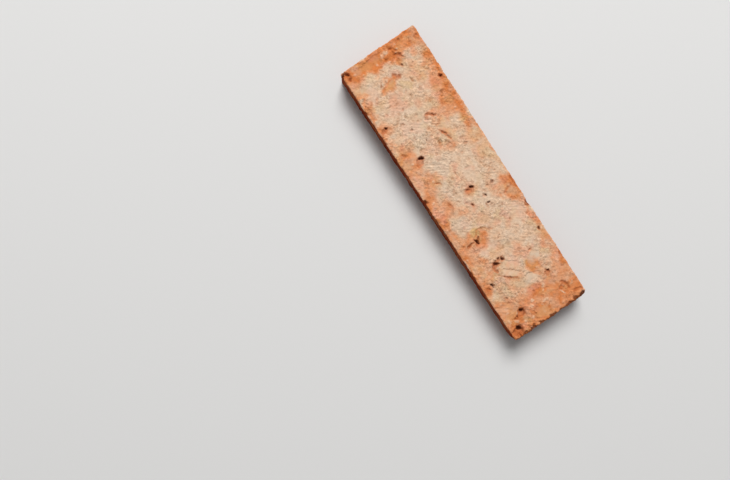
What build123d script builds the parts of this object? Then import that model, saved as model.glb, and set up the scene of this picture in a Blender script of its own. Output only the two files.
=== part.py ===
from build123d import *
from typing import NamedTuple
import os

# A facing slip sawn off the stretcher face of an old, hand-laid clay brick.
# It lies on its sawn back: Z = 0 is the back, +Z looks out of the weathered face.
# +X runs along the length, from the head end to the ragged tail end. Millimetres.

# Driving sizes of the slip
LENGTH = 240.0  # end to end, over the skewed corners
HEAD_WIDTH = 66.0  # across the face at the head end
TAIL_WIDTH = 64.0  # across the face at the tail end, where the brick shrank more in the kiln
THICKNESS = 20.0  # sawn back to weathered face

# How far each end leans off square, because the green clay was struck by hand
HEAD_SKEW = 1.3
TAIL_SKEW = 1.5

# Worn upright corners of the outline, one radius each
HEAD_LEFT_RADIUS = 1.2
HEAD_RIGHT_RADIUS = 1.8
TAIL_RIGHT_RADIUS = 1.6
TAIL_LEFT_RADIUS = 2.0

# Weathered arris round the face. The edges round the sawn back stay sharp.
ARRIS_RADIUS = 0.8


class Hollow(NamedTuple):
    """One hollow in the face: its place, its size at the plane of the face and the way it lies."""

    along: float  # share of the length, from the head end
    across: float  # share of the width, from the left long side
    length: float
    width: float
    depth: float
    turn: float  # degrees from +X to its length


# Blow holes and lost inclusions in the face, the larger ones only
PITS = {
    "left hollow": Hollow(0.360, 0.237, length=5.4, width=3.4, depth=2.2, turn=58),
    "left hollow tail": Hollow(0.366, 0.194, length=5.6, width=4.4, depth=1.1, turn=135),
    "middle hole": Hollow(0.521, 0.545, length=4.2, width=2.8, depth=1.9, turn=70),
    "middle twin": Hollow(0.569, 0.634, length=3.0, width=2.0, depth=1.1, turn=29),
    "head fissure": Hollow(0.332, 0.612, length=8.0, width=2.2, depth=0.9, turn=30),
    "cluster core": Hollow(0.676, 0.249, length=4.6, width=3.2, depth=1.8, turn=20),
    "crescent upper": Hollow(0.758, 0.371, length=4.8, width=2.2, depth=1.2, turn=70),
    "crescent lower": Hollow(0.765, 0.300, length=4.8, width=3.0, depth=1.4, turn=155),
    "green hole": Hollow(0.814, 0.117, length=3.8, width=2.4, depth=1.3, turn=26),
    "tail hole": Hollow(0.871, 0.760, length=3.8, width=2.2, depth=1.5, turn=37),
    "ring hole": Hollow(0.932, 0.240, length=5.6, width=5.0, depth=1.0, turn=60),
    "corner hole": Hollow(0.973, 0.108, length=7.2, width=5.6, depth=1.9, turn=45),
    "edge hole head": Hollow(0.182, 0.946, length=3.4, width=2.4, depth=1.4, turn=95),
    "edge hole tail": Hollow(0.748, 0.932, length=3.0, width=2.0, depth=1.3, turn=5),
    "edge hole left": Hollow(0.222, 0.084, length=3.4, width=2.4, depth=1.4, turn=99),
}

# Worn saucers, where the film of lime and the skin of the clay have rubbed away and the face lies lower.
# Each is at least half as long again as it is wide.
SAUCERS = {
    "head band": Hollow(0.030, 0.330, length=20.0, width=9.6, depth=0.45, turn=90),
    "head right": Hollow(0.054, 0.850, length=16.0, width=9.6, depth=0.40, turn=15),
    "head tongue": Hollow(0.116, 0.382, length=11.6, width=7.4, depth=0.40, turn=145),
    "right brow": Hollow(0.252, 0.850, length=19.0, width=11.0, depth=0.45, turn=0),
    "left palm": Hollow(0.322, 0.130, length=13.6, width=8.8, depth=0.45, turn=60),
    "left waist": Hollow(0.434, 0.142, length=17.0, width=10.6, depth=0.45, turn=0),
    "left belly": Hollow(0.532, 0.170, length=17.0, width=10.8, depth=0.40, turn=0),
    "right cheek": Hollow(0.586, 0.870, length=16.0, width=10.4, depth=0.45, turn=0),
    "cluster saucer": Hollow(0.676, 0.290, length=16.0, width=10.4, depth=0.45, turn=20),
    "red hollow": Hollow(0.898, 0.510, length=13.0, width=8.6, depth=0.45, turn=110),
    "tail sole": Hollow(0.954, 0.740, length=15.6, width=10.2, depth=0.45, turn=80),
}

# Broken places on the arris: hollows whose length runs along the edge, with their outer half in the air.
# Those in mid-edge have their centre a touch outside the wall.
CHIPS = {
    "head corner": Hollow(0.016, 0.052, length=4.8, width=4.0, depth=1.6, turn=50),
    "head corner crumb": Hollow(0.033, 0.054, length=3.2, width=2.8, depth=1.1, turn=150),
    "head notch": Hollow(0.011, -0.004, length=3.6, width=2.8, depth=2.2, turn=0),
    "left nick": Hollow(0.480, -0.004, length=4.8, width=5.0, depth=1.6, turn=12),
    "right nick": Hollow(0.662, 1.004, length=4.8, width=5.2, depth=1.6, turn=-4),
    "tail corner": Hollow(0.999, 0.936, length=9.8, width=5.4, depth=3.0, turn=94),
    "tail upper": Hollow(0.995, 0.846, length=4.6, width=3.4, depth=1.3, turn=80),
    "tail middle": Hollow(1.001, 0.410, length=3.6, width=3.0, depth=1.3, turn=92),
    "tail lower": Hollow(0.999, 0.298, length=5.2, width=4.4, depth=1.7, turn=84),
    "tail foot": Hollow(0.998, 0.020, length=4.6, width=4.0, depth=1.2, turn=60),
}


def corners():
    """The four corners of the face, anticlockwise from the head end's left corner."""
    end = LENGTH / 2
    return [
        (-end + HEAD_SKEW, -HEAD_WIDTH / 2),
        (end, -TAIL_WIDTH / 2),
        (end - TAIL_SKEW, TAIL_WIDTH / 2),
        (-end, HEAD_WIDTH / 2),
    ]


def on_face(along, across):
    """The point of the face at a share of the length and a share of the width."""
    head_left, tail_left, tail_right, head_right = [Vector(x, y, THICKNESS) for x, y in corners()]
    left_side = head_left + (tail_left - head_left) * along
    right_side = head_right + (tail_right - head_right) * along
    return left_side + (right_side - left_side) * across


def block():
    """The tapered, slightly skewed slip with worn corners and a softened arris."""
    radii = [HEAD_LEFT_RADIUS, TAIL_LEFT_RADIUS, TAIL_RIGHT_RADIUS, HEAD_RIGHT_RADIUS]
    outline = FilletPolyline(*corners(), radius=radii, close=True)
    slip = extrude(make_face(outline), THICKNESS)
    face_edges = slip.faces().sort_by(Axis.Z)[-1].edges()
    return fillet(face_edges, ARRIS_RADIUS)


def press(hollow, tool, rise=0.0):
    """The tool laid over a hollow, the way the hollow lies, with its middle raised above the face."""
    return Pos(*on_face(hollow.along, hollow.across)) * Rot(0, 0, hollow.turn) * Pos(0, 0, rise) * tool


def arc_radius(chord, sagitta):
    """The radius of an arc that is this long across and this deep."""
    return chord**2 / (8 * sagitta) + sagitta / 2


def cutters():
    """A fat wheel for every saucer, with its own curve each way, and an egg for every other hollow."""
    for saucer in SAUCERS.values():
        lengthways = arc_radius(saucer.length, saucer.depth)
        crossways = arc_radius(saucer.width, saucer.depth)
        wheel = Rot(90, 0, 0) * Torus(lengthways - crossways, crossways)
        yield press(saucer, wheel, rise=lengthways - saucer.depth)
    for hollow in [*PITS.values(), *CHIPS.values()]:
        yield press(hollow, scale(Sphere(1), by=(hollow.length / 2, hollow.width / 2, hollow.depth)))


brick_slip = block()
for cutter in cutters():
    brick_slip -= cutter

os.makedirs("parts", exist_ok=True)
export_step(brick_slip, "parts/brick_slip.step")
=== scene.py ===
# %% [markdown]
# # A facing slip sawn off an old clay brick
#
# A brick slip is a thin tile cut from the long face of a reclaimed brick. Its front is the old wall
# face: orange fired clay, still wearing a film of lime from the mortar and many coats of limewash,
# with blow holes, lost pebbles and knocked arrises. Its back is a fresh flat saw cut.
#
# The measured block is already modelled to size. This lesson dresses it: one finely divided mesh
# takes the relief, a few painted masks say where lime sits and where clay shows, and a material
# turns the masks into colour, roughness and grain. The sawn back has a plainer material of its own.

# %% Load the measured block
import math

import bmesh
import bpy
import numpy as np
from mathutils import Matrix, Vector, noise


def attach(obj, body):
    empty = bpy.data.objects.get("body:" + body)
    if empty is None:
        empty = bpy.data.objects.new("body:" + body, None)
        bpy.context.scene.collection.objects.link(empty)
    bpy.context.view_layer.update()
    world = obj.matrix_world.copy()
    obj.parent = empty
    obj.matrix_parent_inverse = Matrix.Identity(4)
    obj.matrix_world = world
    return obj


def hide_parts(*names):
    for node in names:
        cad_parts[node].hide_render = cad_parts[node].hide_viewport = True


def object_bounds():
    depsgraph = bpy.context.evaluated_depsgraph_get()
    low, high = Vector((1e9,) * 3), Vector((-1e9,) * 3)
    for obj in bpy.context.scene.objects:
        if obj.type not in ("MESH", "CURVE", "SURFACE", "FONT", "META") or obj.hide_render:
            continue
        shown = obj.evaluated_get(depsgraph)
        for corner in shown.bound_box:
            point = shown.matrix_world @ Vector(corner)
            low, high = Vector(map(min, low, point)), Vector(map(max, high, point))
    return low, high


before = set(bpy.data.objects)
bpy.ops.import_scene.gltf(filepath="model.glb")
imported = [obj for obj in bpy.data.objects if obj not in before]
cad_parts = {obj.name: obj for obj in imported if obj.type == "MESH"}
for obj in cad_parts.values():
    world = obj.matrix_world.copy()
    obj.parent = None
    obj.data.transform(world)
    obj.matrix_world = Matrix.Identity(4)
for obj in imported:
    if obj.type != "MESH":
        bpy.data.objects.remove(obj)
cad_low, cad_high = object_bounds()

MM = 0.001  # Blender's lengths are in metres, and this lesson's are in millimetres

print("measured block, mm:", [round(side / MM, 2) for side in cad_high - cad_low])

# %% [markdown]
# ## Sizes
#
# The block's length, head width and thickness are read from the measured block's box, so the dressed
# slip can't drift away from it. The slip isn't a true rectangle: it narrows towards the tail and both
# ends lean a little. It is easier to work on a squared-up face and to lean the finished mesh at the end,
# so every place below is given in millimetres as measured on the picture, along from the head end and
# across from the left long side.

# %% Name the sizes
LENGTH, HEAD_WIDTH, THICKNESS = (side / MM for side in cad_high - cad_low)
TAPER = 2.0
TAIL_WIDTH = HEAD_WIDTH - TAPER
MEAN_WIDTH = (HEAD_WIDTH + TAIL_WIDTH) / 2
HEAD_SKEW, TAIL_SKEW = 1.3, 1.5  # how far each end leans off square
FACE_ALONG, FACE_ACROSS = 240.6, 65.0  # the face as measured on the picture


def spot(along, across):
    """A place on the squared-up face, as x and y in millimetres from the middle of the slip."""
    return (along / FACE_ALONG - 0.5) * LENGTH, (across / FACE_ACROSS - 0.5) * MEAN_WIDTH


print("from", round(HEAD_WIDTH, 1), "mm wide at the head to", round(TAIL_WIDTH, 1), "mm at the tail")

# %% [markdown]
# ## Camera
#
# The slip was photographed from straight above, lying at a slant and to one side of the middle of
# the picture. The camera therefore looks straight down over the picture's centre, and is turned so
# that the slip's length runs from the upper left to the lower right.

# %% Set the camera over the slip
PICTURE_WIDTH, PICTURE_HEIGHT = 730, 480
SLIP_CENTRE_PIXEL = Vector((464.28, 183.18))
LENGTH_IN_PICTURE = Vector((0.5471, 0.8371))  # the way +X points, with y down the picture
WIDTH_IN_PICTURE = Vector((0.8371, -0.5471))
PIXELS_PER_MM = 1.3415
CAMERA_ABOVE_FACE = 420.0
SENSOR_WIDTH = 36.0
NEAREST_SEEN = 10.0


def put_in_scene(name, data):
    """A new object made of this data, at the origin of the scene."""
    made = bpy.data.objects.new(name, data)
    bpy.context.scene.collection.objects.link(made)
    return made


from_centre = Vector((PICTURE_WIDTH / 2, PICTURE_HEIGHT / 2)) - SLIP_CENTRE_PIXEL
camera_x = from_centre.dot(LENGTH_IN_PICTURE) / PIXELS_PER_MM
camera_y = from_centre.dot(WIDTH_IN_PICTURE) / PIXELS_PER_MM
focal_pixels = PIXELS_PER_MM * CAMERA_ABOVE_FACE

camera = put_in_scene("camera", bpy.data.cameras.new("camera"))
camera.data.sensor_width = SENSOR_WIDTH
camera.data.lens = focal_pixels * SENSOR_WIDTH / PICTURE_WIDTH
camera.data.clip_start = NEAREST_SEEN * MM
camera.location = Vector((camera_x, camera_y, THICKNESS + CAMERA_ABOVE_FACE)) * MM
camera.rotation_euler = (0, 0, math.atan2(LENGTH_IN_PICTURE.y, LENGTH_IN_PICTURE.x))
bpy.context.scene.camera = camera
print("lens, mm:", round(camera.data.lens, 1))
print("turned, degrees:", round(math.degrees(camera.rotation_euler.z), 1))

# %% [markdown]
# ## Shader expressions
#
# Materials and the sky are easier to read as sums than as wires. This small class wraps one output
# of a node, and Python's operators on it add the Math nodes. Any other node comes from its one
# method.

# %% Wrap a socket
def set_stops(elements, stops):
    """Gives a new ramp its stops, each a place and a colour."""
    for place, _ in stops[1:-1]:
        elements.new(place)
    for element, (place, colour) in zip(elements, stops):
        element.position, element.color = place, colour


class Wire:
    """One output of a node, on which arithmetic adds Math nodes."""

    def __init__(self, tree, socket=None):
        self.tree = tree
        self.socket = socket

    def node(self, kind, settings=None, sockets=None, output=0):
        """Adds a node: its settings or a ramp's stops first, then a value or a link for each socket."""
        made = self.tree.nodes.new(kind)
        for name, value in (settings or {}).items():
            if name == "stops":
                set_stops(made.color_ramp.elements, value)
            else:
                setattr(made, name, value)
        for name, value in (sockets or {}).items():
            if isinstance(value, Wire):
                self.tree.links.new(value.socket, made.inputs[name])
            else:
                made.inputs[name].default_value = value
        return Wire(self.tree, made.outputs[output])

    def maths(self, operation, *values):
        """Adds a Math node."""
        return self.node("ShaderNodeMath", {"operation": operation}, dict(enumerate(values)))

    def __add__(self, other):
        return self.maths("ADD", self, other)

    def __sub__(self, other):
        return self.maths("SUBTRACT", self, other)

    def __rsub__(self, other):
        return self.maths("SUBTRACT", other, self)

    def __mul__(self, other):
        return self.maths("MULTIPLY", self, other)

    __radd__, __rmul__ = __add__, __mul__

    def ease(self, low, high):
        """A smooth step from 0 at low to 1 at high."""
        sockets = {"Value": self, "From Min": low, "From Max": high}
        return self.node("ShaderNodeMapRange", {"interpolation_type": "SMOOTHSTEP"}, sockets)

    def mix(self, colour_0, colour_1):
        """Mixes two colours, with this wire as the share of the second."""
        return self.node("ShaderNodeMix", {"data_type": "RGBA"}, {0: self, 6: colour_0, 7: colour_1}, 2)

    def vector(self, operation, other):
        """Vector maths on this wire, where other is a vector, or a number or a wire to scale by."""
        second = "Scale" if operation == "SCALE" else 1
        return self.node("ShaderNodeVectorMath", {"operation": operation}, {0: self, second: other})

    def feed(self, shader, name):
        """Links this wire to one input of a shader."""
        self.tree.links.new(self.socket, shader.inputs[name])


# %% [markdown]
# ## Floor and light
#
# One soft window-like light comes from the top of the picture, low enough to drop a dark side into
# every pit and to lay a soft shadow beside the slip. It is large and far away, so both ends of the
# slip are lit alike. A weak even sky fills the shadows. The two together light a level surface at
# about 1, so a colour renders as it is written. The camera and glossy rays see a brighter sky than
# the one that lights the clay, which gives a pale background without more light on the object.

# %% Lay the floor
FLOOR_SIDE = 12.0
FLOOR_COLOUR = (0.74, 0.735, 0.725, 1)
FLOOR_ROUGHNESS = 0.9

sheet = bmesh.new()
bmesh.ops.create_grid(sheet, x_segments=1, y_segments=1, size=FLOOR_SIDE / 2)
floor_mesh = bpy.data.meshes.new("floor")
sheet.to_mesh(floor_mesh)
sheet.free()
floor = put_in_scene("floor", floor_mesh)
floor_paint = bpy.data.materials.new("pale_floor")
floor_paint.use_nodes = True
floor_shader = floor_paint.node_tree.nodes["Principled BSDF"]
floor_shader.inputs["Base Color"].default_value = FLOOR_COLOUR
floor_shader.inputs["Roughness"].default_value = FLOOR_ROUGHNESS
floor_mesh.materials.append(floor_paint)
print("floor, m:", FLOOR_SIDE)

# %% Hang the light
KEY_LEVEL = 0.82  # the share of the light on a level surface that comes from here
KEY_SIDE, KEY_DISTANCE = 1.7, 3.2  # metres
KEY_ELEVATION = math.radians(50)

picture_up = Vector((-LENGTH_IN_PICTURE.y, -WIDTH_IN_PICTURE.y, 0))
towards_key = picture_up * math.cos(KEY_ELEVATION) + Vector((0, 0, math.sin(KEY_ELEVATION)))
key = put_in_scene("key", bpy.data.lights.new("key", "AREA"))
key.data.size = KEY_SIDE
key.data.energy = KEY_LEVEL * (math.pi * KEY_DISTANCE) ** 2 / math.sin(KEY_ELEVATION)
key.location = towards_key * KEY_DISTANCE
key.rotation_euler = towards_key.to_track_quat("Z", "Y").to_euler()
print("light, W:", round(key.data.energy))

# %% Fill with sky
SKY_FILL = 0.22  # the sky's strength as it lights the slip
BACKDROP = 0.90  # its strength as the camera and glossy rays see it

sky = bpy.data.worlds.new("sky")
bpy.context.scene.world = sky
sky.use_nodes = True
background = sky.node_tree.nodes["Background"]
background.inputs["Color"].default_value = (1, 1, 1, 1)
from_sky = Wire(sky.node_tree)
camera_ray = from_sky.node("ShaderNodeLightPath", output="Is Camera Ray")
glossy_ray = from_sky.node("ShaderNodeLightPath", output="Is Glossy Ray")
seen = from_sky.maths("MAXIMUM", camera_ray, glossy_ray)
strength = from_sky.node("ShaderNodeMapRange", {}, {"Value": seen, "To Min": SKY_FILL, "To Max": BACKDROP})
strength.feed(background, "Strength")

bpy.context.scene.view_settings.view_transform = "Standard"
print("sky nodes:", len(sky.node_tree.nodes))

# %% [markdown]
# ## The blank
#
# Relief on a flat face needs many small, even faces, so the blank is a box cut into a fine net: half
# a millimetre on the face and finer rows towards the arris. The back is a flat saw cut, so its side of
# the box is taken off before the cuts and the hole is filled afterwards with one many-sided face.
# Bridging it to a smaller ring would twist, because the two rings have unequal counts of edges.

# %% Cut the blank into a fine net
FACE_CELL = 0.5
SIDE_ROWS = 24
FACING_DOWN = -0.9  # the normal of a face that looks down has a z below this


def edges_along(bm, axis):
    """The edges of a box-shaped net that run along one axis."""
    return [e for e in bm.edges if abs((e.verts[1].co - e.verts[0].co)[axis]) > 0.5 * e.calc_length()]


blank = bmesh.new()
bmesh.ops.create_cube(blank, size=1)
bmesh.ops.scale(blank, verts=blank.verts, vec=(LENGTH, MEAN_WIDTH, THICKNESS))
bmesh.ops.translate(blank, verts=blank.verts, vec=(0, 0, THICKNESS / 2))
blank.normal_update()
back = [f for f in blank.faces if f.normal.z < FACING_DOWN]
bmesh.ops.delete(blank, geom=back, context="FACES_ONLY")
for axis, cells in enumerate((round(LENGTH / FACE_CELL), round(MEAN_WIDTH / FACE_CELL), SIDE_ROWS)):
    bmesh.ops.subdivide_edges(blank, edges=edges_along(blank, axis), cuts=cells - 1, use_grid_fill=True)
print("fine net:", len(blank.faces), "faces")

# %% Close the sawn back
SIDES_AND_FACE, SAWN_BACK = 0, 1  # the places of the slip's two materials

rim = [e for e in blank.edges if e.is_boundary]
saw_cut = bmesh.ops.holes_fill(blank, edges=rim)["faces"]
bmesh.ops.recalc_face_normals(blank, faces=blank.faces)
for face in blank.faces:
    face.smooth = True
    face.material_index = SAWN_BACK if face.normal.z < FACING_DOWN else SIDES_AND_FACE
for edge in blank.edges:
    edge.smooth = len({f.material_index for f in edge.link_faces}) == 1
print("back:", len(saw_cut), "face of", len(rim), "sides")
print("open edges left:", sum(e.is_boundary for e in blank.edges))

slip_mesh = bpy.data.meshes.new("brick_slip_dressed")
blank.to_mesh(slip_mesh)
blank.free()

# %% [markdown]
# ## Noise and ovals
#
# All the wear is worked out on one array of points, in millimetres. Two helpers do most of it: a
# cloud is smooth noise with lumps of a given size, and an oval tells how far each point lies from
# its edge. Ovals look drawn, so they are measured on places that a cloud has pushed about first.
# That bends every oval into a ragged blob and every line into a crack.

# %% Read the points
ROW_CROWDING = 1.5  # above 1, the rows of the sides crowd towards the arris
HAIR = 1e-3  # a distance in millimetres that counts as none

point = np.empty(3 * len(slip_mesh.vertices))
slip_mesh.vertices.foreach_get("co", point)
point = point.reshape(-1, 3)
share_down = np.clip(1 - point[:, 2] / THICKNESS, 0, 1)
point[:, 2] = THICKNESS * (1 - share_down ** ROW_CROWDING)
on_back = point[:, 2] < HAIR
print("points:", len(point), "of which", on_back.sum(), "round the back")

# %% Make the helpers
SEEDS_APART = 37.7  # one endless noise is read this far apart for two seeds


def turned(turn, places):
    """Plan places, measured along and across a direction given in degrees."""
    cos, sin = math.cos(math.radians(turn)), math.sin(math.radians(turn))
    return np.array((places[:, 0] * cos + places[:, 1] * sin, places[:, 1] * cos - places[:, 0] * sin))


def cloud(size, octaves, seed, stretch=1, turn=0):
    """Smooth noise from about -1 to 1, with lumps of this size, drawn out along a direction."""
    along, across = turned(turn, point)
    places = np.stack([along / stretch, across, point[:, 2]], axis=1) / size + SEEDS_APART * seed
    return np.array([noise.fractal(place, 1.0, 2.0, octaves) for place in places.tolist()])


def pushed(size, amount, seed):
    """The points' plan places, pushed about by two clouds."""
    return point[:, :2] + amount * np.stack([cloud(size, 3, seed), cloud(size, 3, seed + 0.5)], axis=1)


def ease(low, high, value):
    """0 at low, 1 at high and a smooth step between."""
    share = np.clip((value - low) / (high - low), 0, 1)
    return share * share * (3 - 2 * share)


def landed(places, along, across):
    """Where a place on the face has been pushed to, so that a blob drawn there stays where it was."""
    return places[np.argmin(np.hypot(*(point[:, :2] - spot(along, across)).T))]


def ring(places, along, across, length, width, turn, power=2):
    """0 at an oval's middle and 1 all along its edge. A higher power squares the oval."""
    east, north = np.abs(turned(turn, places - landed(places, along, across)))
    return ((2 * east / length) ** power + (2 * north / width) ** power) ** (1 / power)


def outside(places, along, across, length, width, turn, power=2):
    """How far each place lies outside an oval, in millimetres."""
    edge = ring(places, along, across, length, width, turn, power)
    return (edge - 1) * math.sqrt(length * width) / 2


# %% [markdown]
# ## Worn corners and arris
#
# The edges of a hand-made brick are rounded by the mould and by years of knocks, and the tail arris
# is the most worn. Each point near an edge is slid round a quarter circle whose radius changes from
# place to place. Every point also remembers which way is out, because all the relief that follows
# is pressed in or raised along that direction.

# %% Round the upright corners
CORNER_RADIUS = {(-1, -1): 1.2, (-1, 1): 1.8, (1, 1): 1.6, (1, -1): 2.0}  # by the signs of x and y

side_of = np.where(point[:, :2] < 0, -1, 1)
corner = np.array([CORNER_RADIUS[tuple(pair)] for pair in side_of.tolist()])
half = np.array([LENGTH / 2, MEAN_WIDTH / 2])
past = np.abs(point[:, :2]) - (half - corner[:, None])
in_corner = (past > 0).all(axis=1)
reach = np.where(in_corner, np.hypot(*past.T), 1)
widest = past.max(axis=1)
out = np.where(in_corner[:, None], past / reach[:, None], past == widest[:, None]) * side_of
squeeze = np.where(in_corner, widest / reach, 1)
rounded_plan = side_of * (half - corner[:, None] + past * squeeze[:, None])
point[:, :2] = np.where(in_corner[:, None], rounded_plan, point[:, :2])
from_wall, from_face = corner - widest, THICKNESS - point[:, 2]
print("points in the corners:", in_corner.sum())

# %% Wear the arris
ARRIS_RADIUS = 0.75
TAIL_WEAR, TAIL_REACH = 0.25, 6
WAVES_OF_WEAR, NICKS_OF_WEAR = 0.5, 0.35
LEAST_WEAR, MOST_WEAR = 0.35, 2.4

tail_share = ease(0.5 * LENGTH - TAIL_REACH, 0.5 * LENGTH, point[:, 0])
wear = ARRIS_RADIUS + TAIL_WEAR * tail_share
wear = wear + WAVES_OF_WEAR * cloud(11, 3, seed=1) + NICKS_OF_WEAR * cloud(3, 2, seed=2)
wear = np.clip(wear, LEAST_WEAR, MOST_WEAR)
inward, downward = np.clip(wear - from_wall, 0, None), np.clip(wear - from_face, 0, None)
rounded = (inward > 0) & (downward > 0)
slant = np.where(rounded, np.hypot(inward, downward), 1)
shift = np.where(rounded, from_wall - wear + wear * inward / slant, 0)
point[:, :2] += out * shift[:, None]
point[:, 2] = np.where(rounded, THICKNESS - wear + wear * downward / slant, point[:, 2])
print("arris radius, mm:", round(wear[rounded].min(), 2), "to", round(wear[rounded].max(), 2))

# %% Remember which way is out
SIDE_STARTS, SIDE_WHOLE = 0.4, 1.8  # millimetres below the face

up = from_face < HAIR
outward = np.zeros_like(point)
flat_or_wall = np.where(up[:, None], 0, out)
outward[:, :2] = np.where(rounded[:, None], out * (inward / slant)[:, None], flat_or_wall)
outward[:, 2] = np.where(rounded, downward / slant, np.where(up, 1, 0))
outward[on_back] *= (1, 1, 0)
below_face = ease(SIDE_STARTS, SIDE_WHOLE, THICKNESS - point[:, 2])
print("points that face straight up:", up.sum())

# %% [markdown]
# ## Where lime sits and where clay shows
#
# The lime film is thickest down the middle of the face and rubbed away along the edges. It could be
# left to noise alone, but then the slip would be any slip. Here it is laid on as a painter would:
# big soft patches first, then smaller ones over them, each with its own share of bare clay. A cloud
# breaks the film up most where it is half worn, which gives its edges their lace.

# %% Lay out the patches
THIN_FILM = 0.14
PATCH_SOFTNESS = 4.0
PATCHES = [  # along, across, length, width, turn, share of bare clay
    (6, 32, 16, 80, 0, 0.88), (7, 19, 14, 30, 0, 1.1), (11, 60, 20, 16, 0, 0.92), (26, 63, 34, 9, 0, 0.84),
    (20, 55, 12, 6, 0, 0.4), (20, 50, 7, 9, 0, 0.1), (29, 46, 20, 10, 20, 0.3), (13, 43, 7, 6, 0, 0.84),
    (11.5, 36, 7, 10, 0, 0.9), (8.5, 32, 13, 11, 0, 1.25), (6, 37.6, 6, 3, 20, 0.4),
    (19, 33, 5, 12, 0, 0.02), (27, 29, 9, 14, 25, 0.42), (27.5, 25.5, 11, 8, -35, 0.98),
    (25, 26, 5, 7, 0, 0.86), (29, 24, 7, 7, 0, 0.84), (18.5, 27.5, 5, 11, 0, 0.04),
    (17, 17, 8, 10, 0, 0.08), (40, 58, 26, 10, 0, 0.68), (60, 57, 30, 15, 0, 0.76),
    (62, 62, 18, 6, 0, 0.86), (54, 51, 8, 6, 0, 0.5), (67, 49, 11, 12, 30, 0.6), (72, 53, 9, 9, 0, 0.7),
    (63, 38, 9, 5, 60, 0.56), (60, 43.5, 6, 4, 0, 0.16), (84, 61.5, 26, 7, 0, 0.8),
    (93, 55, 7, 12, -20, 0.42), (80, 53, 9, 8, 20, 0.12), (84, 41, 15, 5, 22, 0.6),
    (79, 40, 8, 5, 20, 0.64), (82, 36, 18, 8, 0, 0.3), (46, 31, 12, 22, 0, 0.1), (66, 25, 34, 18, -15, 0),
    (43, 21, 9, 12, 0, 0.22), (40, 12, 10, 7, 0, 0.02), (37, 39.5, 8, 8, 0, 0.08),
    (108, 53, 14, 11, 0, 0.2), (111, 44, 14, 9, 0, 0), (99, 26, 14, 22, -10, 0), (143, 59, 18, 14, 0, 0.86),
    (141, 62, 12, 6, 0, 0.92), (137, 52, 9, 7, 30, 0.5), (128, 50, 8, 9, 0, 0.12),
    (127, 43, 30, 6, 0, 0.05), (127, 33, 7, 8, 20, 0.5), (149, 42, 14, 9, 0, 0.04),
    (135.5, 35, 8, 7, 0, -0.2), (148, 32, 9, 8, 0, 0.06), (22, 3, 20, 6, 0, 0.5), (34, 3, 9, 8, 0, 0.7),
    (55, 3, 11, 8, 0, 0.66), (66, 3, 12, 5, 0, 0.4), (79, 8, 17, 15, 0, 0.72), (90, 6, 22, 13, 0, 0.62),
    (105, 9, 20, 17, 0, 0.52), (113, 13, 9, 8, 0, 0.6), (119, 5, 16, 11, 0, 0.8), (117, 20, 9, 12, 0, 0.1),
    (128, 12, 18, 15, 0, 0.48), (141, 4, 20, 9, 0, 0.8), (137, 23, 8, 13, -35, 0.34),
    (145, 14, 10, 14, 0, 0.1), (153, 4, 16, 8, 0, 0.66), (161, 18, 13, 17, 0, 0.56),
    (163.5, 22, 8, 7, -20, 0.9), (163, 9, 12, 12, 0, 0.66), (173, 9, 22, 9, 0, 0.66),
    (185, 9, 10, 8, 0, 0.58), (167, 3, 24, 7, 0, 0.74), (177, 62, 12, 5, 0, 0.56),
    (198, 62, 24, 6, 0, 0.56), (188, 46, 8, 8, 0, 0.5), (178, 41, 8, 7, 0, 0.1), (176, 25, 8, 8, 0, 0.44),
    (186, 39, 8, 12, -20, 0.38), (185, 17, 7, 15, 15, 0.6), (183, 3, 20, 7, 0, 0.6),
    (198, 3.5, 17, 7, 0, 0.8), (218, 5, 16, 10, 0, 1), (203, 22, 18, 12, 0, 0.44),
    (204, 12, 13, 9, 0, 0.36), (215, 14, 12, 30, 0, 0.6), (216, 57, 13, 18, 0, 0.62),
    (210, 47, 8, 8, 0, 0.62), (231, 33, 24, 74, 0, 0.76), (231, 53, 18, 22, 0, 0.94),
    (222, 46, 16, 12, 0, 0.82), (228, 26, 12, 14, 0, 0.78), (232, 11, 14, 18, 0, 1),
    (228, 35, 9, 6, 20, 0.55), (215, 33, 10, 8, 0, 1.05), (213, 27, 6, 6, 0, 0.3),
    (195, 47.5, 8, 7, 20, 0.08), (207, 37, 6, 12, -20, 0.14), (193, 24, 15, 12, 51, 0.26),
    (112, 64.5, 50, 3, 0, 0.6), (175, 64, 40, 4, 0, 0.66), (212, 64, 40, 4, 0, 0.8),
    (150, 0.6, 180, 2.4, 0, 0.82), (238, 32, 6, 66, 0, 0.85), (35, 0.6, 50, 2.4, 0, 0.74),
    (55, 64, 60, 4, 0, 0.92), (197, 39.5, 6, 5, 40, 1.1), (201.3, 42.6, 6.5, 5, 42, 1.5),
]

loose = pushed(9, 4.5, seed=3)
bare = np.full(len(point), THIN_FILM)
for *place, share in PATCHES:
    bare += (share - bare) * ease(PATCH_SOFTNESS, -PATCH_SOFTNESS, outside(loose, *place, power=2.5))
print("patches of film and clay:", len(PATCHES))

# %% Fray the film
LACE = 0.55
WHOLE_LACE, HALF_WORN_LACE = 0.25, 1.2
SIDE_SMEARS = 0.25
THICKEST = 1.1

bare += (WHOLE_LACE + HALF_WORN_LACE * bare * (1 - bare)) * LACE * cloud(6, 3, seed=6)
smears = ease(-0.05, 0.35, cloud(14, 3, seed=5, stretch=2))
bare += (1.0 - SIDE_SMEARS * smears - bare) * below_face
lime = np.clip(1 - bare, 0, THICKEST)
print("lime covers", round(100 * lime[up].mean()), "% of the face")

# %% [markdown]
# ## Tints
#
# Old limewash isn't one white. Iron from the clay has bled into it and turned it rose, sand and
# algae have turned it ochre, and a few crusts of dense lime are nearly grey. Each tint is one mask:
# a faint cloud everywhere, and stronger blobs where the real face shows them.

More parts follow.
